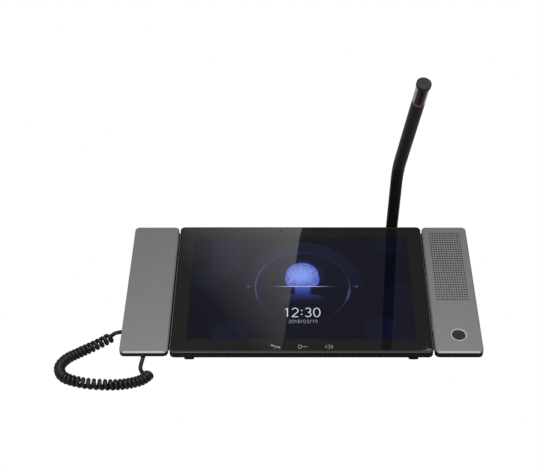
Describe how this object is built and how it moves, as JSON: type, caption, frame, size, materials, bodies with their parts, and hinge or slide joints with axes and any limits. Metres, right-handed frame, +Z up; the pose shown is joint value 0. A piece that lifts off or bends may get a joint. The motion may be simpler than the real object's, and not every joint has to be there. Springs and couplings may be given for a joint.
{
  "type": "desk ip phone",
  "caption": "Desk IP phone with a tilted touch tablet between a lift-off corded handset and a loudspeaker wing with a round call button, and a bendable microphone on a stem behind.",
  "frame": {"origin": "on the desk under the middle of the phone, leaving out the cord: z is 0 at the soles of the feet", "axes": "+X to the user's right along the width, +Y away from the user, +Z up"},
  "size_m": [0.3989, 0.2248, 0.2364],
  "materials": {
    "anodised_grey": "satin",
    "black_shell": "gloss",
    "stand_plastic": "matte",
    "cover_glass": "polished",
    "display": "lit screen",
    "circuit_board": "gloss",
    "rubber": "matte",
    "steel": "brushed",
    "clear_plastic": "clear gloss",
    "cord_jacket": "satin",
    "speaker_paper": "matte",
    "bright_ring": "polished",
    "red_light": "lit",
    "clear_sleeve": "smoked gloss"
  },
  "bodies": {
    "phone": {"tablet_frame": "black_shell", "cover_glass": "cover_glass", "display_panel": "display", "main_board": "circuit_board", "rear_cover": "stand_plastic", "light_sensor": "stand_plastic", "camera_lens": "stand_plastic", "base_shell": "stand_plastic", "base_plate": "stand_plastic", "base_screw_1": "steel", "base_screw_2": "steel", "base_screw_3": "steel", "base_screw_4": "steel", "foot_front_left": "rubber", "foot_front_right": "rubber", "foot_rear_left": "rubber", "foot_rear_right": "rubber", "ethernet_jack": "stand_plastic", "power_jack": "stand_plastic", "bridge_left": "stand_plastic", "bridge_right": "stand_plastic", "cradle_shell": "stand_plastic", "cradle_plate": "stand_plastic", "cradle_foot": "rubber", "handset_jack": "stand_plastic", "hook_spring": "steel", "hook_switch": "black_shell", "cord_plug": "clear_plastic", "cord_lead_base": "cord_jacket", "cord_coil": "cord_jacket", "cord_lead_handset": "cord_jacket", "speaker_cover": "anodised_grey", "speaker_shell": "black_shell", "pod_plate": "stand_plastic", "pod_foot": "rubber", "speaker_cloth": "speaker_paper", "speaker_basket": "steel", "speaker_cone": "speaker_paper", "speaker_magnet": "steel", "button_ring": "bright_ring", "button_switch": "stand_plastic", "mic_socket": "black_shell"},
    "handset": {"handset_cover": "anodised_grey", "handset_shell": "black_shell", "ear_grille": "stand_plastic", "ear_capsule": "steel", "mouth_capsule": "steel", "handset_weight": "steel", "handset_screw_1": "steel", "handset_screw_2": "steel", "cord_grommet": "rubber"},
    "hook": {"hook_plunger": "black_shell"},
    "button": {"call_button": "black_shell"},
    "mic_lower": {"mic_stem_lower": "black_shell", "mic_neck_link": "black_shell"},
    "mic_upper": {"mic_stem_upper": "black_shell", "mic_light_ring": "red_light", "mic_clear_sleeve": "clear_sleeve", "mic_capsule": "stand_plastic", "mic_cap": "black_shell"}
  },
  "joints": [
    {"name": "handset_lift", "type": "slide", "parent": "phone", "child": "handset", "axis": [0, -0.2079, 0.9781], "range_m": [0, 0.06]},
    {"name": "hook_travel", "type": "slide", "parent": "phone", "child": "hook", "axis": [0, -0.2079, 0.9781], "range_m": [0, 0.003]},
    {"name": "call_button_press", "type": "slide", "parent": "phone", "child": "button", "axis": [0, 0.2079, -0.9781], "range_m": [0, 0.001], "stiffness_N_per_m": 400, "springref_m": -0.001},
    {"name": "mic_swivel", "type": "hinge", "parent": "phone", "child": "mic_lower", "pos_m": [0.09453, 0.08, 0.03], "axis": [0.041, 0, 0.9992], "range_deg": [-150, 150]},
    {"name": "mic_bend", "type": "hinge", "parent": "mic_lower", "child": "mic_upper", "pos_m": [0.09784, 0.08, 0.1106], "axis": [0.9878, 0.1501, -0.0405], "range_deg": [-25, 60]}
  ],
  "couplings": [
    {"joint": "hook_travel", "follows": "handset_lift", "ratio": 0.05}
  ]
}
